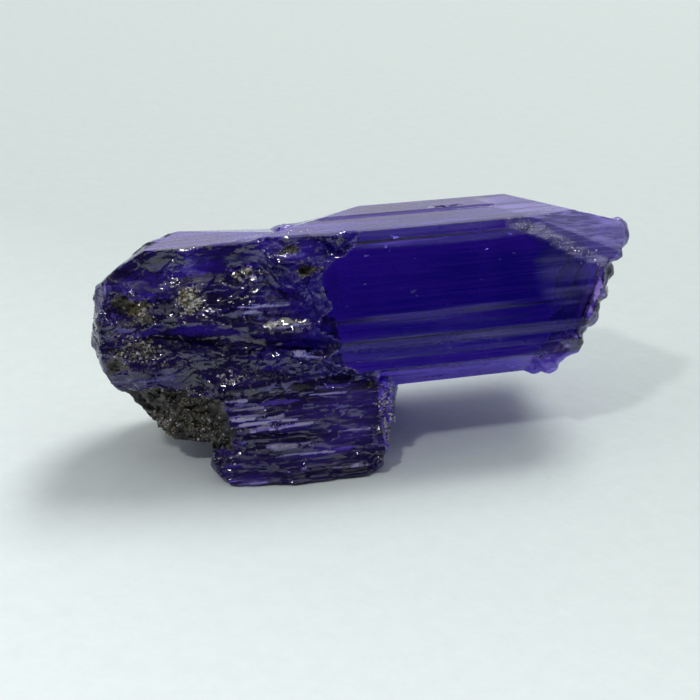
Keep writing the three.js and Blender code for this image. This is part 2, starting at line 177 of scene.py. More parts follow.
def near_line(x, z, line, reach):
    """1 on a line of [x, z] points and 0 beyond reach from it."""
    best = np.full(len(x), FAR)
    for (x0, z0), (x1, z1) in zip(line, line[1:]):
        dx, dz = x1 - x0, z1 - z0
        t = np.clip(((x - x0) * dx + (z - z0) * dz) / (dx * dx + dz * dz), 0, 1)
        best = np.minimum(best, np.hypot(x - x0 - t * dx, z - z0 - t * dz))
    return 1 - smoothstep(best, 0.4 * reach, reach)


def soft_noise(points, size, salt):
    """Smooth noise from 0 to 1, with features about size across."""
    p = points / np.asarray(size, float) + GRID_START
    base = np.floor(p)
    t = smoothstep(p - base, 0, 1)
    total = np.zeros(len(points))
    for corner in np.ndindex(2, 2, 2):
        share = np.prod(np.where(np.array(corner) == 1, t, 1 - t), axis=-1)
        total += share * hashed(base + np.array(corner), salt)
    return total


def inside(x, z, corners, soft):
    """1 inside a convex outline of [x, z] corners, given clockwise, and 0 further than soft outside it."""
    depth = np.full(len(x), FAR)
    for (x0, z0), (x1, z1) in zip(corners, corners[1:] + corners[:1]):
        dx, dz = x1 - x0, z1 - z0
        depth = np.minimum(depth, ((x - x0) * dz - (z - z0) * dx) / math.hypot(dx, dz))
    return smoothstep(depth, -soft, 0)


def oval(x, z, middle, half):
    """1 in the middle of an oval, falling to 0 at its rim."""
    return 1 - smoothstep(np.hypot((x - middle[0]) / half[0], (z - middle[1]) / half[1]), 0.3, 1)


# Smooth stretches of the broken front, as crystal [x, z]: the dark groove, and the blue face above it.
GROOVE = [(-7.9, -0.15), (-5.5, -0.4), (-3.6, -0.85), (-1.5, -1.2)]
BLUE_FACE = [(-6.1, 2.35), (-4.4, 2.3)]

# Where host rock covers the crystal: the wedge at the lower left, the pit near the left end, and hollows.
WEDGE = [(-9.5, -2.0), (-8.2, -2.35), (-6.7, -2.4), (-5.7, -2.9), (-5.5, -4.9), (-7.6, -4.6), (-9.5, -3.4)]
PIT = [(-9.15, 1.15), (-8.7, 0.9), (-8.3, 0.55)]
HOLLOWS = [((-1.96, 1.66), (0.55, 0.36)), ((-2.54, 2.5), (0.42, 0.28)), ((-6.53, 1.0), (0.5, 0.5))]

# Ledges whose upper sides catch the light: from [x, z] to [x, z], and how far they stand out.
LEDGES = [
    ((-5.7, -3.02), (-4.8, -3.08), 0.1),
    ((-5.66, -3.36), (-4.3, -3.4), 0.09),
    ((-5.66, -3.71), (-3.42, -3.78), 0.15),
    ((-5.55, -4.15), (-2.12, -4.16), 0.17),
    ((-4.16, -4.93), (-2.38, -5.03), 0.13),
    ((-3.42, -5.95), (-2.78, -5.91), 0.14),
    ((-1.45, -6.0), (-0.26, -6.03), 0.12),
    ((-3.75, -0.28), (-2.3, -0.26), 0.2),
    ((-4.6, 0.09), (-3.6, 0.17), 0.1),
    ((-3.1, -1.4), (-1.4, -1.6), 0.1),
]


def ledge_relief(x, z):
    """Depth of the ledges: each stands out under its line and is hollowed a little over it."""
    bulge_height, hollow_height, hollow_share = 0.3, 0.15, 0.4
    depth = np.zeros(len(x))
    for (x0, z0), (x1, z1), height in LEDGES:
        along = np.clip((x - x0) / (x1 - x0), 0, 1)
        under = z0 + (z1 - z0) * along - z
        ends = smoothstep(along, 0, 0.12) * (1 - smoothstep(along, 0.88, 1))
        bulge = -np.exp(-np.maximum(under, 0) / bulge_height)
        hollow = hollow_share * np.exp(np.minimum(under, 0) / hollow_height)
        depth += height * ends * np.where(under > 0, bulge, hollow)
    return depth


# Ragged streaks on the broken front, crushed crystal and painted highlights on ledge tops: from [x, z] to [x,
# z], and how wide.
STREAKS_AND_HIGHLIGHTS = [
    ((-5.0, 0.55), (-2.5, 0.4), 0.07),
    ((-4.8, 0.3), (-2.2, 0.14), 0.09),
    ((-4.3, 0.02), (-2.9, -0.02), 0.08),
    ((-4.0, -0.25), (-1.8, -0.27), 0.26),
    ((-3.0, -1.36), (-1.5, -1.5), 0.08),
    ((-2.9, -1.5), (-1.6, -1.75), 0.06),
    ((-5.75, -3.0), (-4.6, -3.08), 0.1),
    ((-5.66, -3.34), (-3.9, -3.42), 0.08),
    ((-5.7, -3.7), (-3.1, -3.8), 0.16),
    ((-5.6, -3.98), (-2.6, -4.0), 0.1),
    ((-5.55, -4.2), (-1.9, -4.2), 0.14),
    ((-4.5, -4.92), (-2.1, -5.05), 0.15),
    ((-4.0, -5.3), (-1.2, -5.4), 0.06),
    ((-3.6, -5.95), (-2.6, -5.91), 0.14),
    ((-1.9, -6.0), (-0.1, -6.03), 0.12),
    ((-2.5, -3.1), (-0.6, -3.2), 0.05),
    ((-2.0, -4.6), (0.2, -4.7), 0.05),
    ((-4.4, 1.95), (-3.9, 1.5), 0.1),
    ((-4.75, 2.0), (-4.3, 1.35), 0.08),
]


def streaks_and_painted_highlights_at(q):
    """1 on the streaks of crushed crystal and painted highlight, ragged and thinning out to both ends, and 0
    elsewhere.
    """
    x, _, z = q.T
    ragged = soft_noise(q, (0.7, 0.7, 0.12), salt=78) - 0.5
    patchy = smoothstep(soft_noise(q, (0.5, 0.5, 0.06), salt=79), 0.2, 0.55)
    shine = np.zeros(len(x))
    for (x0, z0), (x1, z1), width in STREAKS_AND_HIGHLIGHTS:
        dx, dz = x1 - x0, z1 - z0
        along = np.clip(((x - x0) * dx + (z - z0) * dz) / (dx * dx + dz * dz), 0, 1)
        away = np.hypot(x - x0 - dx * along, z - z0 - dz * along + 0.3 * ragged * width)
        ends = smoothstep(along, 0, 0.25) * (1 - smoothstep(along, 0.75, 1))
        core = 0.3 * width
        rim = width * (0.3 + np.maximum(ends, 0.001))
        shine = np.maximum(shine, smoothstep(ends, 0, 0.6) * (1 - smoothstep(away, core, rim)))
    return shine * patchy


def striated_at(q):
    """1 on the short striated crystal and 0 elsewhere."""
    x, _, z = q.T
    return smoothstep(-z, 2.5, 3.2) * smoothstep(x, -6.4, -5.7) * (1 - smoothstep(x, 0.2, 0.7))


def rock_at(q, broken):
    """How much host rock covers the crystal at places q, from 0 to 1."""
    x, y, z = q.T
    front = 1 - smoothstep(y, 3.0, 4.0)
    wander = 0.3 * (soft_noise(q, 0.5, salt=75) - 0.5)
    wedge = inside(x + wander, z + wander, WEDGE, 0.2)
    pits = near_line(x + wander, z, PIT, 0.45)
    for middle, half in HOLLOWS:
        pits = np.maximum(pits, 0.9 * oval(x + wander, z, middle, half))
    veined = smoothstep(soft_noise(q, (0.6, 0.6, 0.3), salt=76), 0.4, 0.65)
    seams = 0.8 * veined * oval(x, z, (-8.9, -1.1), (1.9, 1.5))
    crust = np.maximum(oval(x, z, (-6.5, -0.5), (4.4, 2.6)), oval(x, z, (-3.6, -4.2), (3.6, 2.4)))
    hidden = smoothstep(y, 3.2, 4.0) * smoothstep(crust + 0.3 * soft_noise(q, 0.9, salt=77), 0.25, 0.5)
    return broken * np.maximum.reduce([wedge, front * pits, front * seams, hidden])


def seen_through(x, y, z):
    """1 on the broken back that shows through the broad face's left end, and 0 elsewhere."""
    along = smoothstep(x, -1.6, -0.8) * (1 - smoothstep(x, 2.5, 3.5))
    return along * smoothstep(y, 4.3, 5.0) * smoothstep(z, -0.6, 0.2)


def fine_relief(q, normals):
    """How deep the small breaks go at crystal places q. They are lower where the surface turns away."""
    x, y, z = q.T
    turned = 0.35 + 0.65 * smoothstep(np.abs(normals[:, 1]), 0.15, 0.6)
    front = 1 - smoothstep(y, 2.0, 3.2)
    calm = front * np.maximum(near_line(x, z, GROOVE, 0.42), near_line(x, z, BLUE_FACE, 0.55))
    busy = smoothstep(soft_noise(q, (2.0, 1.2, 0.8), salt=70), 0.35, 0.65)
    facets = 0.17 * plates(q, (1.3, 0.9, 0.8), salt=20) + 0.16 * shells(q, (1.5, 1.0, 1.0), salt=25)
    splinters = 0.075 * plates(q, (1.0, 0.5, 0.34), salt=30)
    crumbs = 0.04 * plates(q, (0.34, 0.25, 0.22), salt=40)
    fracture = (facets + splinters * (0.4 + 0.6 * busy) + crumbs * busy) * (1 - 0.85 * calm)
    striae = 0.07 * plates(q, (2.6, 0.8, 0.4), salt=50) + 0.025 * plates(q, (1.1, 0.4, 0.1), salt=60)
    lumps = 0.16 * plates(q, (0.8, 0.6, 0.4), salt=80) + 0.1 * plates(q, (0.3, 0.22, 0.2), salt=90)
    pitted = 0.03 * smoothstep(y, 1.5, 2.5) * plates(q, (0.3, 0.25, 0.22), salt=65)
    knobs = 0.05 * shells(q, (0.5, 0.5, 0.5), salt=60) + pitted
    striated = striated_at(q)
    rock = rock_at(q, 1)
    right_end = smoothstep(x, 6.0, 7.5)
    relief = fracture * (1 - striated) + striae * striated + front * ledge_relief(x, z)
    relief = relief * (1 - rock) + lumps * rock
    relief = relief * (1 - right_end) + knobs * right_end
    return relief * turned * (1 - 0.9 * seen_through(x, y, z))


# Stretches of the front that are worn or cloudy, and two of painted glow: middle and half size in [x, z], how
# strongly, and how pale.
# A strength over 1 makes a stretch fall off more sharply to its rim.
WEAR_AND_PAINTED_GLOW = [
    ((3.0, 2.85), (4.2, 0.3), 0.16, 0.5),
    ((3.2, 2.47), (5.4, 0.3), 0.6, 0.42),
    ((2.8, -0.5), (5.2, 0.25), 0.22, 0.4),
    ((7.2, -2.2), (1.9, 0.8), 0.1, 0.4),
    ((3.0, -1.8), (6.5, 1.3), 0.06, 0.35),
    ((8.2, 0.8), (1.4, 2.2), 0.1, 0.32),
    # Painted glow: violet along the keel, where light comes through the thin edge.
    ((4.0, -2.75), (2.4, 0.3), 1.5, 0.4),
    # Painted glow: lilac along the short crystal's lower edge, where light comes through it.
    ((-4.9, -6.28), (1.5, 0.16), 3.0, 0.6),
    ((9.3, 0.3), (0.9, 0.9), 0.14, 0.35),
]

# The line of pale crust under the facet at the upper right, as crystal [x, z].
CRUST_LINE = [(6.4, 2.75), (7.6, 2.35), (8.88, 1.46), (9.84, 0.89)]


def haze_and_painted_light_at(q, broken):
    """How far light scatters at the surface at crystal places q, from 0 to 1, and how pale that light is.
    Part of it is painted light: highlights on the streaks, sheen on the roof, glow on the keel and underside.
    """
    x, y, z = q.T
    front = 1 - smoothstep(y, 2.0, 3.2)
    behind = smoothstep(y, 3.6, 4.6)
    patchy = smoothstep(soft_noise(q, (1.4, 1.0, 0.5), salt=71), 0.35, 0.8)
    roof = smoothstep(z, 2.98, 3.05) * smoothstep(y, 0.5, 0.6)
    tongue = smoothstep(x - 7.6 + 1.15 * (z - 2.4), -0.1, 0.25) * smoothstep(z, 0.7, 1.2)
    keel = smoothstep(-z, 2.5, 2.6) * (1 - smoothstep(y, 1.9, 2.2)) * smoothstep(x, 0.2, 0.6)
    right_end = smoothstep(x, 7.2, 8.4) * smoothstep(y, 1.5, 2.5)
    underside = smoothstep(-z, 2.0, 2.4) * smoothstep(y, 2.2, 3.0) * smoothstep(x, 0.2, 1.0)
    groove = front * near_line(x, z, GROOVE, 0.5)
    unevenness = soft_noise(q, (1.1, 2.0, 2.0), salt=72) - 0.4
    sparse = smoothstep(soft_noise(q, (1.0, 0.8, 0.35), salt=73), 0.55, 0.85)
    streaky = smoothstep(soft_noise(q, (2.4, 0.8, 0.2), salt=74), 0.5, 0.85)
    striated = striated_at(q)
    ragged = soft_noise(q, (0.35, 0.35, 0.14), salt=80)
    ragged_line = smoothstep(near_line(x, z, CRUST_LINE, 0.42) + 1.2 * ragged, 1.1, 1.7)
    left_part = x < 4
    # Painted sheen: the roof's lilac scatter is partly frosting and partly stands in for the bright
    # surroundings it mirrors, more so to the left.
    roof_frost_and_painted_sheen = 0.3 + 0.12 * smoothstep(-x, -1, 1)
    tongue_haze = 0.25 + 0.4 * soft_noise(q, (1.6, 0.6, 0.18), salt=81)
    back_haze = 0.22 * oval(x, z, (4.2, 0), (6.0, 5.0)) + 0.25 * unevenness
    kinds = [
        (broken * (0.5 - 0.2 * patchy) * (1 - striated) * (1 - behind) * left_part, 0.02 + 0.13 * patchy),
        (broken * 0.36 * sparse * (1 - groove) * (1 - striated) * (1 - behind), 0.27 + 0.25 * patchy),
        (0.55 * striated * (1 - behind), 0.03 + 0.11 * patchy),
        (0.6 * streaky * striated * (1 - behind), 0.35),
        # Painted highlight: pale scatter on the streaks stands in for light caught on ledge tops, as well as
        # crushed crystal.
        (streaks_and_painted_highlights_at(q) * front, 0.95),
        (roof_frost_and_painted_sheen * roof, 0.5),
        ((0.15 + 0.4 * patchy) * right_end, 0.3),
        # Painted glow: violet scatter on the main crystal's shaded underside, lighter than the shade that
        # falls there.
        (0.5 * underside, 0.3),
        (tongue_haze * tongue, 0.65),
        # Painted glow: strong violet scatter on the keel stands in for light coming through its thin edge.
        (0.95 * keel, 0.3),
        (0.8 * front * ragged_line, 0.85),
        (behind * back_haze, 0.32),
    ]
    wear_and_glow_lines = 0.2 + 1.3 * smoothstep(soft_noise(q, (3.5, 1.0, 0.13), salt=82), 0.4, 0.85)
    for middle, half, strength, paleness in WEAR_AND_PAINTED_GLOW:
        kinds.append((strength * front * oval(x, z, middle, half) * wear_and_glow_lines, paleness))
    haze_and_painted_light = np.zeros(len(x))
    pale = np.zeros(len(x))
    for amount, paleness in kinds:
        more = amount > haze_and_painted_light
        pale = np.where(more, paleness, pale)
        haze_and_painted_light = np.where(more, amount, haze_and_painted_light)
    return np.clip(haze_and_painted_light, 0, 1), pale


def etched_at(q, broken, down):
    """How far growth fluids frosted the surface at places q, from 0 to 2. Down is 1 where it faces down."""
    x, y, z = q.T
    back = smoothstep(y, 3.6, 4.8) * np.maximum(broken, 0.5 + 0.7 * smoothstep(x, 5.0, 7.5))
    right_end = 2 * smoothstep(x, 6.5, 7.5) * smoothstep(y, 0.9, 2.2) * broken
    underside = 0.6 * smoothstep(down, 0.4, 0.8) * smoothstep(-z, 1.9, 2.3) * smoothstep(x, -1.0, 0.0)
    ledge_end = smoothstep(x, 6.0, 6.5) * (1 - smoothstep(x, 8.1, 8.4)) * smoothstep(z, 3.4, 3.5)
    return np.maximum.reduce([back, right_end, underside, ledge_end])


# ---------------------------------------------------------------- the stone


def points_of(mesh):
    co = np.empty(len(mesh.vertices) * 3)
    mesh.vertices.foreach_get("co", co)
    return co.reshape(-1, 3)


def grown_faces(solid):
    """For each face of the solid, True where it is part of a large flat face, which grew."""
    group = list(range(len(solid.faces)))

    def root(i):
        while group[i] != i:
            group[i] = group[group[i]]
            i = group[i]
        return i

    for edge in solid.edges:
        a, b = edge.link_faces
        if a.normal.dot(b.normal) > SAME_PLANE:
            group[root(a.index)] = root(b.index)
    area = {}
    for face in solid.faces:
        area[root(face.index)] = area.get(root(face.index), 0) + face.calc_area() / MM**2
    low, high = MAIN_CRYSTAL
    grown = []
    for face in solid.faces:
        x, _, z = to_crystal(face.calc_center_median())
        needed = BEVEL_AREA if low < x < high else GROWN_AREA
        on_roof = low < x < high and z > ROOF_HEIGHT
        grown.append(on_roof or area[root(face.index)] > needed and abs(face.normal.x) < END_NORMAL)
    return np.array(grown)


def neighbour_mean(values, edges, count):
    """The mean of each point's neighbours."""
    total = np.stack(
        [
            np.bincount(edges.ravel(), weights=column[edges[:, ::-1].ravel()], minlength=len(values))
            for column in values.reshape(len(values), -1).T
        ],
        -1,
    )
    return (total / count[:, None]).reshape(values.shape)


class Solid:
    """The CAD solid, welded, with its grown faces and the creases between them known."""

    def __init__(self, node):
        welded = bmesh.new()
        welded.from_mesh(node.data)
        bmesh.ops.remove_doubles(welded, verts=welded.verts, dist=WELD)
        welded.faces.ensure_lookup_table()
        self.grown = grown_faces(welded)
        self.creases = [
            (np.array(edge.verts[0].co), np.array(edge.verts[1].co))
            for edge in welded.edges
            if all(self.grown[face.index] for face in edge.link_faces) and edge.calc_face_angle() > CREASE
        ]
        self.tree = BVHTree.FromBMesh(welded)
        self.mesh = bpy.data.meshes.new("welded")
        welded.to_mesh(self.mesh)
        welded.free()

    def nearest(self, points):
        """The nearest places on the solid, and for each 1 where the stone broke and 0 where it grew."""
        places = np.empty((len(points), 3))
        broken = np.empty(len(points))
        for i, point in enumerate(points):
            place, _, face, _ = self.tree.find_nearest(Vector(point))
            places[i] = place
            broken[i] = 0 if self.grown[face] else 1
        return places, broken

    def normal_near(self, point):
        """The normal of the solid's face nearest to a point."""
        return self.tree.find_nearest(point)[1]

    def keep_creases(self, points):
        """Moves the points next to a crease onto it, so that it stays one clean edge."""
        for start, end in self.creases:
            way = end - start
            along = np.clip((points - start) @ way / (way @ way), 0, 1)
            on_crease = start + along[:, None] * way
            near = np.linalg.norm(points - on_crease, axis=1) < CREASE_REACH
            points[near] = on_crease[near]


def remeshed(mesh):
    """A closed mesh of even small quads around another."""
    block = bpy.data.objects.new("block", mesh)
    bpy.context.scene.collection.objects.link(block)
    remesh = block.modifiers.new("fine", "REMESH")
    remesh.mode = "VOXEL"
    remesh.voxel_size = VOXEL
    fine = bpy.data.meshes.new_from_object(block.evaluated_get(bpy.context.evaluated_depsgraph_get()))
    bpy.data.objects.remove(block)
    return fine


def quarter_breaks(mesh, solid):
    """Quarters the quads of the broken surfaces on the stone's front part."""
    places, broken = solid.nearest(points_of(mesh))
    x, y, _ = to_crystal(places).T
    to_the_front = (normals_of(mesh) @ CRYSTAL_AXES.T)[:, 1] < FRONT_NORMAL
    at_rounded_end = (x > ROUNDED_END[0]) & (y > ROUNDED_END[1])
    wanted = (broken > 0) & (y < FINE_DEPTH) & to_the_front & ~at_rounded_end
    bm = bmesh.new()
    bm.from_mesh(mesh)
    faces = [face for face in bm.faces if all(wanted[v.index] for v in face.verts)]
    edges = list({edge for face in faces for edge in face.edges})
    bmesh.ops.subdivide_edges(bm, edges=edges, cuts=1, use_grid_fill=True)
    bmesh.ops.triangulate(bm, faces=[face for face in bm.faces if len(face.verts) > 4])
    bm.to_mesh(mesh)
    bm.free()


def normals_of(mesh):
    normals = np.empty(len(mesh.vertices) * 3)
    mesh.vertices.foreach_get("normal", normals)
    return normals.reshape(-1, 3)


def stone_mesh(solid):
    """The solid as a fine closed mesh: its grown faces stay exact, and its broken ones get small relief."""
    fine = remeshed(solid.mesh)
    quarter_breaks(fine, solid)
    co, broken = solid.nearest(points_of(fine))
    edges = np.empty(len(fine.edges) * 2, np.int64)
    fine.edges.foreach_get("vertices", edges)
    edges = edges.reshape(-1, 2)
    count = np.bincount(edges.ravel(), minlength=len(co)).astype(float)
    for _ in range(RELIEF_RIM):
        broken = np.minimum(broken, neighbour_mean(broken, edges, count))
    whole = np.flatnonzero(broken < ALMOST_NONE)
    kept = co[whole]
    solid.keep_creases(kept)
    co[whole] = kept
    x, y, z = to_crystal(co).T
    end_x, end_y = ROUNDED_END
    right_end = smoothstep(x, end_x, end_x + 1) * smoothstep(y, end_y, end_y + 1)
    rounded = np.maximum(right_end, seen_through(x, y, z))
    for step in range(ROUNDING_STEPS):
        share = SMOOTHING * broken * (1 if step < SMOOTHING_STEPS else rounded)
        co += share[:, None] * (neighbour_mean(co, edges, count) - co)
    x, _, z = to_crystal(co).T
    loose = smoothstep(-x, 8.55, 8.75) * smoothstep(-z, 2.68, 2.78)
    co += LOOSE_LUMP_SHARE * loose[:, None] * (to_row(LOOSE_LUMP_SEAT) - co)
    fine.vertices.foreach_set("co", co.ravel())
    fine.update()
    normals = normals_of(fine)
    relief = fine_relief(to_crystal(co), normals @ CRYSTAL_AXES.T)
    co -= normals * (broken * relief * MM)[:, None]
    low, high = (np.array(corner) for corner in cad_box)
    fine.vertices.foreach_set("co", np.clip(co, low, high).ravel())
    fine.update()
    fine.polygons.foreach_set("use_smooth", np.ones(len(fine.polygons), bool))
    fine.set_sharp_from_angle(angle=SHARP)
    own = np.zeros((len(fine.loops), 3))
    for face in fine.polygons:
        if broken[list(face.vertices)].max() < ALMOST_NONE:
            own[face.loop_start : face.loop_start + face.loop_total] = solid.normal_near(face.center)
    fine.normals_split_custom_set(own.tolist())
    return fine


def point_values(mesh, name, values):
    mesh.attributes.new(name, "FLOAT", "POINT").data.foreach_set("value", np.asarray(values, np.float32))


# ---------------------------------------------------------------- materials


class Nodes:
    """A material's node tree, with short ways to add to it."""

    def __init__(self, name):
        self.material = bpy.data.materials.new(name)
        self.material.use_nodes = True
        self.tree = self.material.node_tree
        self.tree.nodes.clear()
        self.output = self.add("ShaderNodeOutputMaterial")

    def add(self, kind, inputs=None, **settings):
        node = self.tree.nodes.new(kind)
        for key, value in settings.items():
            setattr(node, key, value)
        for key, value in (inputs or {}).items():
            if isinstance(value, bpy.types.NodeSocket):
                self.tree.links.new(value, node.inputs[key])
            else:
                node.inputs[key].default_value = value
        return node

    def link(self, source, target):
        self.tree.links.new(source, target)

    def crystal_place(self):
        """Object coordinates turned into the crystal axes."""
        place = self.add("ShaderNodeTexCoord").outputs["Object"]
        return self.add("ShaderNodeMapping", {"Vector": place, "Rotation": (LEAN, 0, 0)}).outputs[0]

    def noise(self, place, scale, stretch=(1, 1, 1), detail=3.0):
        """Noise with scale features to a metre, fewer along an axis where stretch is below 1."""
        stretched = self.add("ShaderNodeVectorMath", {0: place, 1: stretch}, operation="MULTIPLY").outputs[0]
        inputs = {"Vector": stretched, "Scale": scale, "Detail": detail, "Roughness": 0.6}
        return self.add("ShaderNodeTexNoise", inputs).outputs["Fac"]

    def math(self, operation, a, b):
        return self.add("ShaderNodeMath", {0: a, 1: b}, operation=operation).outputs[0]

    def mapped(self, value, span, to):
        """A value turned from one span of numbers to another, and held at its ends."""
        inputs = {"Value": value, "From Min": span[0], "From Max": span[1], "To Min": to[0], "To Max": to[1]}
        return self.add("ShaderNodeMapRange", inputs).outputs[0]

    def mixed(self, share, a, b):
        node = self.add("ShaderNodeMix", data_type="FLOAT")
        for socket, value in zip(node.inputs[:1] + node.inputs[2:4], (share, a, b)):
            if isinstance(value, bpy.types.NodeSocket):
                self.link(value, socket)
            else:
                socket.default_value = value
        return node.outputs[0]

    def colour_mix(self, share, a, b):
        node = self.add("ShaderNodeMix", data_type="RGBA")
        self.link(share, node.inputs[0])
        for socket, colour in ((node.inputs[6], a), (node.inputs[7], b)):
            if isinstance(colour, bpy.types.NodeSocket):
                self.link(colour, socket)
            else:
                socket.default_value = (*colour, 1)
        return node.outputs[2]

    def value_of(self, attribute):
        return self.add("ShaderNodeAttribute", attribute_name=attribute).outputs["Fac"]


TANZANITE_IOR = 1.69
BODY_COLOUR = (0.342, 0.025, 0.742, 1)  # what the crystal lets through
BODY_DENSITY = 1120  # how strongly it takes the rest, to the metre

# What the crystal scatters at its surface, from the deepest stretches to the palest. BRIGHT_VIOLET is also
# the painted glow on the keel and the underside.
DEEP_VIOLET = (0.02, 0.012, 0.1)
BRIGHT_VIOLET = (0.19, 0.1, 0.95)
LILAC = (0.62, 0.6, 0.88)
UNTINTED = (1, 1, 1)

ROCK_SHADE = (0.008, 0.007, 0.01)
ROCK_LIGHT = (0.27, 0.24, 0.22)
ROCK_ROUGHNESS = 0.5
RIPPLE_HEIGHT = 10  # times the height of the fine lines
BUMP_DEPTH = 0.02 * MM


def tanzanite_roughness(n, at, rock):
    """Nearly polished on faces and breaks alike, with smudges, and matt where frosted or under rock."""
    on_face = n.mapped(n.noise(at, 900, (0.3, 1, 1), 4), (0.45, 0.75), (0.03, 0.14))
    on_break = n.mapped(n.noise(at, 2600, detail=2), (0.4, 0.7), (0.02, 0.14))
    roughness = n.mixed(n.value_of("broken"), on_face, on_break)
    etched = n.value_of("etched")
    deeper = n.mapped(etched, (1, 2), (0, 0.6))
    frosted = n.mapped(n.noise(at, 600), (0.35, 0.65), (0.2, 0.6))
    roughness = n.mixed(etched, roughness, n.math("ADD", frosted, deeper))
    return n.mixed(rock, roughness, ROCK_ROUGHNESS)


def tanzanite_material():
    """Clear violet-blue crystal with fine lines along X, pale where it is worn or frosted and where
    highlights, sheen and glow are painted on, and host rock on it.
    """
    n = Nodes("tanzanite")
    at = n.crystal_place()
    ragged = n.mapped(n.noise(at, 3500, detail=3), (0.3, 0.7), (-0.3, 0.3))
    rock = n.mapped(n.math("ADD", n.value_of("rock"), ragged), (0.45, 0.6), (0, 1))
    lines = n.math("ADD", n.noise(at, 7000, (0.012, 1, 1)), n.noise(at, 1500, (0.03, 1, 1), 2))
    ripples = n.math("MULTIPLY", n.noise(at, 4200, (0.5, 1, 1), 4), RIPPLE_HEIGHT)
    height = n.mixed(n.value_of("broken"), lines, ripples)
    bump = n.add("ShaderNodeBump", {"Strength": 0.15, "Distance": BUMP_DEPTH, "Height": height})
    long_streaks = n.mapped(n.noise(at, 8000, (0.03, 1, 1), 3), (0.38, 0.66), (0.45, 1.55))
    short_streaks = n.mapped(n.noise(at, 2200, (0.12, 1, 1), 4), (0.35, 0.65), (0.5, 1.4))
    streaks = n.mixed(n.value_of("broken"), long_streaks, short_streaks)
    haze_and_painted_light = n.math("MULTIPLY", n.value_of("haze_and_painted_light"), streaks)
    # The scatter colour also shows the painted highlights, sheen and glow that the scattering attribute
    # carries.
    violet = n.colour_mix(n.mapped(n.value_of("pale"), (0, 0.3), (0, 1)), DEEP_VIOLET, BRIGHT_VIOLET)
    scattered = n.colour_mix(n.mapped(n.value_of("pale"), (0.3, 1), (0, 1)), violet, LILAC)
    tint = n.colour_mix(n.mapped(haze_and_painted_light, (0, 0.25), (0, 1)), UNTINTED, scattered)
    crevices = n.mapped(n.noise(at, 900, (0.6, 1, 1), 2), (0.42, 0.55), (0, 1))
    tone = n.math("MULTIPLY", n.mapped(n.noise(at, 3000, detail=4), (0.4, 0.65), (0, 1)), crevices)
    stone_and_rock = n.colour_mix(rock, tint, n.colour_mix(tone, ROCK_SHADE, ROCK_LIGHT))
    clear = n.math("MULTIPLY", n.mapped(haze_and_painted_light, (0, 1), (1, 0.15)), n.mapped(rock, (0, 1), (1, 0)))
    shader = n.add(
        "ShaderNodeBsdfPrincipled",
        {
            "Base Color": stone_and_rock,
            "Transmission Weight": clear,
            "IOR": TANZANITE_IOR,
            "Roughness": tanzanite_roughness(n, at, rock),
            "Normal": bump.outputs[0],
        },
    )
    absorb = n.add("ShaderNodeVolumeAbsorption", {"Color": BODY_COLOUR, "Density": BODY_DENSITY})
    n.link(shader.outputs[0], n.output.inputs["Surface"])
    n.link(absorb.outputs[0], n.output.inputs["Volume"])
    return n.material


def rock_material(name, dark, light, roughness, metallic=0.0):
    """Grains of one mineral, a little darker and lighter from place to place."""
    n = Nodes(name)
    place = n.add("ShaderNodeTexCoord").outputs["Object"]
    share = n.mapped(n.noise(place, 9000), (0.35, 0.65), (0, 1))
    inputs = {"Base Color": n.colour_mix(share, dark, light), "Roughness": roughness, "Metallic": metallic}
    n.link(n.add("ShaderNodeBsdfPrincipled", inputs).outputs[0], n.output.inputs["Surface"])
    return n.material


# The paper's colours, with light and shade painted on: lighter left of and before the stone, dimmer right of
# and behind it, and dark nearer than the camera sees.
PAPER_PAINTED_LIGHT_BEFORE = (0.9, 0.98, 0.98)
PAPER_PAINTED_DIMMER_BEHIND = (0.63, 0.71, 0.69)
PAPER_PAINTED_SHADE_OUT_OF_VIEW = (0.13, 0.14, 0.14)


def paper_material():
    n = Nodes("white paper")
    place = n.add("ShaderNodeTexCoord").outputs["Object"]
    bump = n.add("ShaderNodeBump", {"Strength": 0.1, "Distance": 0.0003, "Height": n.noise(place, 900)})
    away = n.add("ShaderNodeVectorMath", {0: place, 1: (0.9, 1, 0)}, operation="DOT_PRODUCT").outputs["Value"]
    # Painted light: the paper is lighter towards the left and the front, and dimmer to the right and behind.
    tone = n.colour_mix(n.mapped(away, (-0.03, 0.012), (0, 1)), PAPER_PAINTED_LIGHT_BEFORE, PAPER_PAINTED_DIMMER_BEHIND)
    row_y = n.add("ShaderNodeSeparateXYZ", {"Vector": place}).outputs["Y"]
    # Painted shade: the paper nearer than the camera sees is dark, as the room before the stone is, so facets
    # turned down mirror shade.
    tone = n.colour_mix(n.mapped(row_y, (-0.1, -0.025), (0, 1)), PAPER_PAINTED_SHADE_OUT_OF_VIEW, tone)
    fibres = n.mapped(n.noise(place, 1400, detail=5), (0.3, 0.7), (0.965, 1))
    tone = n.add("ShaderNodeVectorMath", {0: tone, "Scale": fibres}, operation="SCALE").outputs["Vector"]
    inputs = {"Base Color": tone, "Roughness": 0.8, "Normal": bump.outputs[0]}
    n.link(n.add("ShaderNodeBsdfPrincipled", inputs).outputs[0], n.output.inputs["Surface"])
    return n.material


# ---------------------------------------------------------------- rock grains

FLAKE, CRACK = 3, 4  # the places of mica and of inner cracks in MINERALS

# The way that each view looks, in crystal axes.
FRONT = (0, 1, 0)
SLANTED_END = (-0.75, 0.66, 0)
LEFT = (0.9, 0.43, 0)
LOWER_LEFT = (0.5, 0.6, 0.62)
BACK = (0, -1, 0)
UNDER = (0, 0.3, 0.95)

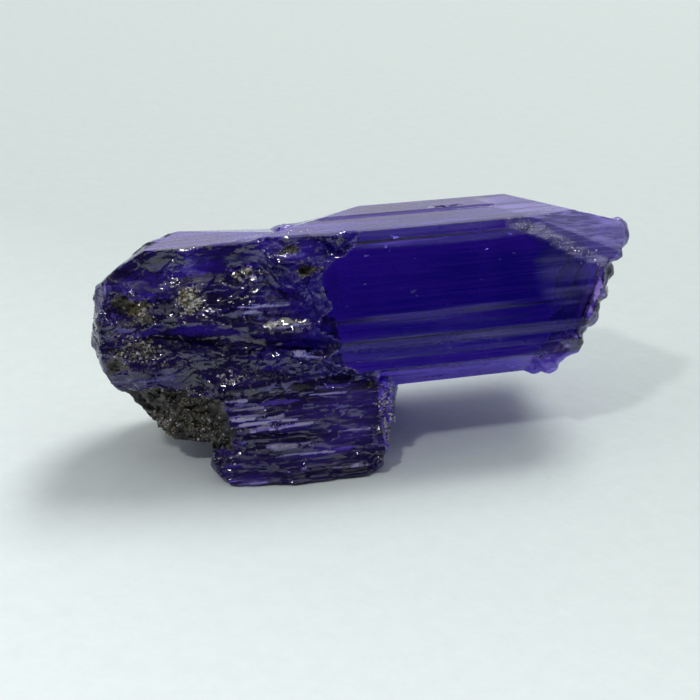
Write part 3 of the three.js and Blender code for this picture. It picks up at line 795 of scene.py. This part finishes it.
# Patches of grains: view, middle, half width and half height across the view, turn in degrees, number of
# grains, smallest and largest grain, and the shares of dark, olive, pale and flaky ones.
SEEN_PATCHES = {
    "pit near the left end": (FRONT, (-9.1, 1, 1.1), (0.3, 0.28), 0, 90, (0.05, 0.13), (0.7, 0.3, 0, 0)),
    "shards beside it": (
        FRONT, (-8.6, 1, 0.85), (0.42, 0.26), -10, 220, (0.08, 0.34), (0.05, 0.4, 0.2, 0.35),
    ),
    "under it": (FRONT, (-8.4, 1, 0.35), (0.6, 0.25), 0, 120, (0.05, 0.13), (0.5, 0.35, 0.05, 0.1)),
    "olive and white patch": (
        FRONT, (-6.53, 1, 1.0), (0.42, 0.42), 0, 400, (0.08, 0.28), (0.04, 0.2, 0.4, 0.36),
    ),
    "shards under that": (FRONT, (-6.6, 1, 0.42), (0.25, 0.1), -15, 40, (0.05, 0.14), (0, 0.4, 0.2, 0.4)),
    "trail over it": (FRONT, (-7.0, 1, 1.75), (0.25, 0.2), 40, 45, (0.05, 0.14), (0.05, 0.1, 0.3, 0.55)),
    "shards by the mound": (
        FRONT, (-4.42, 1, 1.8), (0.42, 0.24), 20, 200, (0.1, 0.45), (0.04, 0, 0.11, 0.85),
    ),
    "splinters in the scoop": (FRONT, (-3.0, 1, -0.25), (0.8, 0.1), 0, 220, (0.12, 0.7), (0, 0, 0.1, 0.9)),
    "glitter all over": (FRONT, (-5.4, 1, 0.2), (2.4, 1.5), 0, 200, (0.04, 0.16), (0, 0, 0.15, 0.85)),
    "left of the scoop": (FRONT, (-5.48, 1, 0.81), (0.2, 0.1), 15, 25, (0.05, 0.14), (0, 0.1, 0.3, 0.6)),
    "over the scoop": (FRONT, (-4.55, 1, 0.87), (0.18, 0.12), 15, 25, (0.05, 0.14), (0, 0.1, 0.3, 0.6)),
    "hollow on the mound": (FRONT, (-1.96, 1, 1.66), (0.45, 0.3), 0, 200, (0.05, 0.12), (0.7, 0.3, 0, 0)),
    "hollow over it": (FRONT, (-2.54, 1, 2.5), (0.4, 0.25), 20, 120, (0.05, 0.12), (0.35, 0.6, 0.05, 0)),
    "chips round the hollows": (FRONT, (-2.95, 1, 2.4), (0.6, 0.35), 0, 40, (0.04, 0.1), (0, 0.1, 0.4, 0.5)),
    "rough left side": (
        FRONT, (-8.6, 1, -0.75), (0.75, 0.5), -10, 420, (0.05, 0.18), (0.08, 0.52, 0.25, 0.15),
    ),
    "sparkles low down": (FRONT, (-5.3, 1, -2.15), (0.6, 0.3), 0, 90, (0.05, 0.22), (0, 0, 0.4, 0.6)),
    "low rough band": (FRONT, (-3.2, 1, -2.3), (2.2, 0.35), -4, 90, (0.03, 0.08), (0.1, 0.1, 0.4, 0.4)),
    "upper wedge": (FRONT, (-7.1, 1, -2.75), (1.0, 0.5), -15, 500, (0.05, 0.16), (0.55, 0.3, 0.1, 0.05)),
    "lower wedge": (FRONT, (-6.7, 1, -3.7), (1.0, 0.6), -33, 800, (0.05, 0.16), (0.6, 0.25, 0.12, 0.03)),
    "under the wedge": (
        LOWER_LEFT, (-7.6, 3, -3.6), (1.6, 0.8), 0, 500, (0.06, 0.2), (0.6, 0.25, 0.12, 0.03),
    ),
    "wedge by the short crystal": (
        FRONT, (-5.9, 1, -4.5), (0.35, 0.5), 0, 200, (0.05, 0.14), (0.7, 0.1, 0.15, 0.05),
    ),
    "pits over the slanted end": (
        FRONT, (0.25, 1, -3.0), (0.45, 0.18), 0, 160, (0.05, 0.13), (0.9, 0.1, 0, 0),
    ),
    "left foot": (FRONT, (-5.9, 1, -5.3), (0.25, 0.45), 20, 70, (0.04, 0.12), (0.6, 0.1, 0.1, 0.2)),
    "slanted end": (SLANTED_END, (0.8, 1.5, -4.4), (0.5, 1.4), 0, 750, (0.05, 0.2), (0.15, 0.1, 0.35, 0.4)),
    "knobs at the keel": (FRONT, (7.4, 1, -2.8), (0.6, 0.35), 20, 90, (0.03, 0.08), (0.5, 0.1, 0.2, 0.2)),
    "left end": (LEFT, (-10.0, 2.4, -0.6), (1.6, 1.4), 0, 260, (0.05, 0.14), (0.5, 0.3, 0.1, 0.1)),
}
HIDDEN_PATCHES = {
    "back of the left half": (
        BACK, (-5.3, 5, -0.2), (3.2, 1.6), 0, 2300, (0.08, 0.28), (0.55, 0.25, 0.15, 0.05),
    ),
    "low on the back": (BACK, (-5.5, 5, -2.6), (1.6, 0.9), 0, 500, (0.08, 0.24), (0.5, 0.25, 0.2, 0.05)),
    "underside": (UNDER, (-4.5, 4, -5.0), (3.5, 1.4), 0, 300, (0.06, 0.18), (0.5, 0.2, 0.25, 0.05)),
}

# Lines of pale crushed crystal along edges: [x, z] points, number of chips, size, spread, and shares.
CRUSHED_EDGES = [
    (CRUST_LINE, 320, (0.03, 0.1), 0.14, (0, 0.05, 0.65, 0.3)),
    ([(-3.4, 2.75), (-2.4, 3.25), (-1.6, 3.3)], 60, (0.02, 0.07), 0.08, (0, 0, 0.6, 0.4)),
]
CHIPS_ON_LEDGES = 26  # flakes on each millimetre of a ledge's edge

# Small cracks inside the stone that mirror the light from above: x, z and length.
INNER_CRACKS = [
    (1.66, 2.6, 0.34),
    (1.5, 2.68, 0.2),
    (1.24, 2.3, 0.36),
    (1.35, 2.1, 0.2),
    (1.75, 2.25, 0.2),
    (2.32, 1.73, 0.16),
    (2.09, 0.42, 0.34),
    (2.2, 0.25, 0.2),
    (0.4, 2.0, 0.24),
    (5.29, 1.82, 0.2),
    (6.31, 2.35, 0.26),
    (6.36, 1.56, 0.2),
    (5.74, 1.37, 0.18),
    (4.9, 0.64, 0.18),
    (0.2, 0.9, 0.16),
    (3.4, -0.2, 0.14),
    (-0.6, 0.1, 0.16),
]
CRACK_DEPTH = (0.16, 0.5)  # least and most behind the broad face
BROAD_FACE_Y = 0.13  # about where the broad face is at height 0
BROAD_FACE_SLOPE = 0.105  # how far it goes back for each millimetre up

# Normals of flakes, in the row frame. UPWARD turns the window's light to the front, LAMPWARD turns the small
# lamp's, and MIRROR turns light that came in through the roof, inside the crystal.
UPWARD = np.array([0.15, -0.26, 0.95])
LAMPWARD = np.array([-0.38, -0.53, 0.75])
MIRROR = np.array([0.08, -0.77, 0.64]) @ CRYSTAL_AXES
LAMPWARD_SHARE = 0.35
FLAKE_JITTER = 0.09  # how far flakes turn from those normals

SHAPES = 16  # different splinters, and as many flakes
SPLINTER_THICKNESS = (0.25, 0.7)  # shares of a grain's size
FLAKE_THICKNESS = (0.1, 0.12)
FLAKE_WIDTH = 0.65
SPLINTER_RAGGEDNESS = 0.45
FLAKE_RAGGEDNESS = 0.5
CLUSTER = 9  # grains to a cluster
CLUSTER_SPREAD = 0.5  # shares of a patch's half size
GRAIN_SPREAD = 0.17
RAY_START = 30  # before the stone


def shard_shapes(random, number, thickness, ragged):
    """Six-sided plates and splinters about 1 across, as corners and triangles."""
    angle = np.radians(np.arange(6) * 60)
    rim = np.stack([0.5 * np.cos(angle), 0.32 * np.sin(angle)], -1)
    shapes = []
    for _ in range(number):
        outline = rim * random.uniform(1 - ragged, 1 + 0.4 * ragged, (6, 1))
        lower = outline * random.uniform(1 - ragged, 1, (6, 1))
        depth = random.uniform(*thickness, (6, 1)) / 2
        shapes.append(np.concatenate([np.hstack([outline, depth]), np.hstack([lower, -depth[::-1]])]))
    faces = [(0, i, i + 1) for i in range(1, 5)] + [(6, 7 + i, 6 + i) for i in range(1, 5)]
    for i in range(6):
        j = (i + 1) % 6
        faces += [(i, 6 + i, 6 + j), (i, 6 + j, j)]
    return np.array(shapes), np.array(faces)


def turns(random, number):
    """Random turns, as matrices."""
    q = random.normal(size=(number, 4))
    w, x, y, z = (q / np.linalg.norm(q, axis=1, keepdims=True)).T
    rows = [
        [1 - 2 * (y * y + z * z), 2 * (x * y - w * z), 2 * (x * z + w * y)],
        [2 * (x * y + w * z), 1 - 2 * (x * x + z * z), 2 * (y * z - w * x)],
        [2 * (x * z - w * y), 2 * (y * z + w * x), 1 - 2 * (x * x + y * y)],
    ]
    return np.moveaxis(np.array(rows), -1, 0)


def facing(random, normals, jitter):
    """Turns that lay flakes across each of these normals, give or take, with their length near X."""
    normal = normals + jitter * random.normal(size=normals.shape)
    normal /= np.linalg.norm(normal, axis=1, keepdims=True)
    length = np.array([1.0, 0, 0]) + 0.5 * random.normal(size=normals.shape)
    length -= normal * (length * normal).sum(-1, keepdims=True)
    length /= np.linalg.norm(length, axis=1, keepdims=True)
    return np.stack([length, np.cross(normal, length), normal], -1)


def patch_spots(random, half, turn, number):
    """Places spread over an oval about zero, in small clusters and closer together towards its middle."""
    clusters = random.normal(size=(max(3, number // CLUSTER), 2)) * CLUSTER_SPREAD
    own_cluster = clusters[random.integers(len(clusters), size=number)]
    picked = own_cluster + random.normal(size=(number, 2)) * GRAIN_SPREAD
    angle = math.radians(turn)
    return picked * half @ np.array([[math.cos(angle), math.sin(angle)], [-math.sin(angle), math.cos(angle)]])


def landed(tree, view, middle, spots):
    """Where rays along a view land on the stone, from spots measured across the view and up."""
    view = np.array(view, float) / np.linalg.norm(view)
    across = np.cross(view, (0, 0, 1))
    across /= np.linalg.norm(across)
    upward = np.cross(across, view)
    row_view = Vector(view @ CRYSTAL_AXES)
    for a, b in spots:
        start = np.array(middle) + across * a + upward * b - view * RAY_START
        place, normal, _, _ = tree.ray_cast(Vector(to_row(start)), row_view)
        if place is not None:
            yield np.array(place), np.array(normal)


def edge_spots(random, line, number, spread):
    """Places scattered along a line of [x, z] points."""
    line = np.array(line)
    where = random.random(number) * (len(line) - 1)
    index = where.astype(int)
    share = (where - index)[:, None]
    return line[index] * (1 - share) + line[index + 1] * share + random.normal(size=(number, 2)) * spread


def grains_mesh(name, tree, patches, edges, cracks, seed):
    """The grains of patches, the chips of edges and the cracks inside, as one mesh of several minerals."""
    random = np.random.default_rng(seed)
    centres, sizes, kinds = [], [], []

    def settle(view, middle, spots, size, shares):
        for place, normal in landed(tree, view, middle, spots):
            width = (size[0] + (size[1] - size[0]) * random.random() ** 2) * MM
            centres.append(place - normal * width * random.uniform(0.0, 0.3))
            sizes.append(width)
            kinds.append(random.choice(4, p=shares))

    for view, middle, half, turn, number, size, shares in patches.values():
        settle(view, middle, patch_spots(random, half, turn, number), size, shares)
    for line, number, size, spread, shares in edges:
        settle(FRONT, (0, 0, 0), edge_spots(random, line, number, spread), size, shares)
    for x, z, length in cracks:
        depth = random.uniform(*CRACK_DEPTH)
        centres.append(to_row((x, BROAD_FACE_Y + BROAD_FACE_SLOPE * z + depth, z)))
        sizes.append(length * MM)
        kinds.append(CRACK)

    centres, sizes, kinds = np.array(centres), np.array(sizes), np.array(kinds)
    splinters, faces = shard_shapes(random, SHAPES, SPLINTER_THICKNESS, SPLINTER_RAGGEDNESS)
    flakes, _ = shard_shapes(random, SHAPES, FLAKE_THICKNESS, FLAKE_RAGGEDNESS)
    picked = random.integers(SHAPES, size=len(centres))
    corners = splinters[picked]
    spins = turns(random, len(centres))
    flaky = np.flatnonzero(kinds >= FLAKE)
    corners[flaky] = flakes[picked[flaky]]
    bright_way = np.where(random.random((len(flaky), 1)) < LAMPWARD_SHARE, LAMPWARD, UPWARD)
    in_crack = (kinds[flaky] == CRACK)[:, None]
    spins[flaky] = facing(random, np.where(in_crack, MIRROR, bright_way), FLAKE_JITTER)
    corners[flaky, :, 1] *= FLAKE_WIDTH
    corners = np.einsum("nij,nkj->nki", spins, corners) * sizes[:, None, None]
    low, high = (np.array(corner) for corner in cad_box)
    corners = np.clip(corners + centres[:, None, :], low, high)
    triangles = faces + (np.arange(len(centres)) * corners.shape[1])[:, None, None]
    mesh = bpy.data.meshes.new(name)
    mesh.from_pydata(corners.reshape(-1, 3).tolist(), [], triangles.reshape(-1, 3).tolist())
    for mineral in MINERALS:
        mesh.materials.append(mineral)
    mesh.polygons.foreach_set("material_index", np.repeat(kinds, len(faces)).astype(np.int32))
    return mesh


# ---------------------------------------------------------------- table, light and camera

# This part is in the row frame, in metres.
TABLE_HALF = 0.6
STONE_MIDDLE = (0, 0, 0.004)
DARK_WAY = (-0.19, -0.96, 0.2)  # where the room is dark: before the stone, a little to its left and above
ROOM_COLOUR = (0.96, 0.97, 1.0, 1)


def table_top():
    corners = [(x * TABLE_HALF, y * TABLE_HALF, 0) for x, y in ((-1, -1), (1, -1), (1, 1), (-1, 1))]
    data = bpy.data.meshes.new("table_top")
    data.from_pydata(corners, [], [(0, 1, 2, 3)])
    data.materials.append(paper_material())
    return data


def linked(name, data):
    thing = bpy.data.objects.new(name, data)
    bpy.context.scene.collection.objects.link(thing)
    return thing


def soft_light(name, place, size, watts, colour):
    data = bpy.data.lights.new(name, "AREA")
    data.size = size
    data.energy = watts
    data.color = colour
    lamp = linked(name, data)
    lamp.location = place
    lamp.rotation_euler = (Vector(STONE_MIDDLE) - Vector(place)).to_track_quat("-Z", "Y").to_euler()


def surroundings():
    """A pale room, a little brighter upwards, and dark on the side that the stone's broad face looks to."""
    world = bpy.data.worlds.new("pale room")
    bpy.context.scene.world = world
    world.use_nodes = True
    tree = world.node_tree

    def add(kind, **settings):
        node = tree.nodes.new(kind)
        for key, value in settings.items():
            setattr(node, key, value)
        return node

    def ramp(source, span, to):
        node = add("ShaderNodeMapRange", interpolation_type="SMOOTHSTEP")
        for key, value in zip(("From Min", "From Max", "To Min", "To Max"), (*span, *to)):
            node.inputs[key].default_value = value
        tree.links.new(source, node.inputs["Value"])
        return node.outputs[0]

    def times(a, b):
        node = add("ShaderNodeMath", operation="MULTIPLY")
        tree.links.new(a, node.inputs[0])
        tree.links.new(b, node.inputs[1])
        return node.outputs[0]

    way = add("ShaderNodeTexCoord").outputs["Generated"]
    facing = add("ShaderNodeVectorMath", operation="DOT_PRODUCT")
    tree.links.new(way, facing.inputs[0])
    facing.inputs[1].default_value = DARK_WAY
    split = add("ShaderNodeSeparateXYZ")
    tree.links.new(way, split.inputs[0])
    dark_side = ramp(facing.outputs["Value"], (-0.1, 0.65), (1.0, 0.03))
    brightness = ramp(split.outputs["Z"], (0.0, 0.75), (0.7, 0.75))
    tree.links.new(times(dark_side, brightness), tree.nodes["Background"].inputs["Strength"])
    tree.nodes["Background"].inputs["Color"].default_value = ROOM_COLOUR


def camera():
    """A camera before the stone and a little left of it, looking down at it."""
    turn, down = math.radians(-12), math.radians(30)
    right = Vector((math.cos(turn), math.sin(turn), 0))
    ahead = Vector((-math.sin(turn) * math.cos(down), math.cos(turn) * math.cos(down), -math.sin(down)))
    above = right.cross(ahead)
    place = Vector((-9.333, -40.176, 26.950)) * MM
    data = bpy.data.cameras.new("camera")
    data.lens = 60
    data.sensor_width = 36
    data.clip_start = 0.001
    data.clip_end = 10
    cam = linked("camera", data)
    cam.matrix_world = Matrix([[right[i], above[i], -ahead[i], place[i]] for i in range(3)] + [[0, 0, 0, 1]])
    bpy.context.scene.camera = cam


# ---------------------------------------------------------------- build

solid = Solid(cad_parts["tanzanite_crystal"])
stone_data = stone_mesh(solid)
stone_data.name = "tanzanite_stone"
stone_points = points_of(stone_data)
_, stone_broken = solid.nearest(stone_points)
stone_places = to_crystal(stone_points)
facing_down = -(normals_of(stone_data) @ CRYSTAL_AXES.T)[:, 2]
point_values(stone_data, "broken", stone_broken)
point_values(stone_data, "etched", etched_at(stone_places, stone_broken, facing_down))
for name, values in zip(("haze_and_painted_light", "pale"), haze_and_painted_light_at(stone_places, stone_broken)):
    point_values(stone_data, name, values)
point_values(stone_data, "rock", rock_at(stone_places, stone_broken))
stone_data.materials.clear()
stone_data.materials.append(tanzanite_material())
stone = linked("tanzanite_stone", stone_data)
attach(stone, "root")
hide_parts("tanzanite_crystal")

# Each mineral's name, its darkest and lightest colour, its roughness and how metallic it is.
MINERALS = [
    rock_material("graphite", (0.008, 0.008, 0.009), (0.05, 0.047, 0.045), 0.32),
    rock_material("olive rock", (0.07, 0.055, 0.025), (0.33, 0.28, 0.16), 0.4),
    rock_material("calcite", (0.5, 0.48, 0.46), (0.85, 0.83, 0.8), 0.3),
    rock_material("mica", (0.6, 0.57, 0.54), (0.85, 0.83, 0.8), 0.18, 0.9),
    rock_material("inner crack", (0.3, 0.55, 0.95), (0.6, 0.8, 1), 0.35, 0.3),
]
surface = BVHTree.FromPolygons(
    [vertex.co for vertex in stone_data.vertices],
    [face.vertices[:] for face in stone_data.polygons],
)
chipped = [
    ((start, end), round(CHIPS_ON_LEDGES * (end[0] - start[0])), (0.03, 0.09), 0.03, (0, 0, 0.3, 0.7))
    for start, end, _ in LEDGES
]
# Each piece's name, what it is made of, and the seed of its random draws.
for name, patches, edges, cracks, seed in [
    ("rock_grains_front", SEEN_PATCHES, CRUSHED_EDGES + chipped, INNER_CRACKS, 12),
    ("rock_grains_back", HIDDEN_PATCHES, [], [], 13),
]:
    grains = linked(name, grains_mesh(name, surface, patches, edges, cracks, seed))
    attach(grains, "root")
    print(name, "triangles:", len(grains.data.polygons))
bpy.data.meshes.remove(solid.mesh)
print("stone triangles:", sum(len(face.vertices) - 2 for face in stone_data.polygons))

linked("table_top", table_top())
surroundings()
soft_light("window", place=(0.42, 0.53, 0.8), size=0.34, watts=6.5, colour=(1, 0.99, 0.97))
soft_light("small lamp", place=(-0.45, -0.1, 0.8), size=0.08, watts=1.5, colour=(1, 1, 1))
camera()
bpy.context.scene.view_settings.view_transform = "Standard"
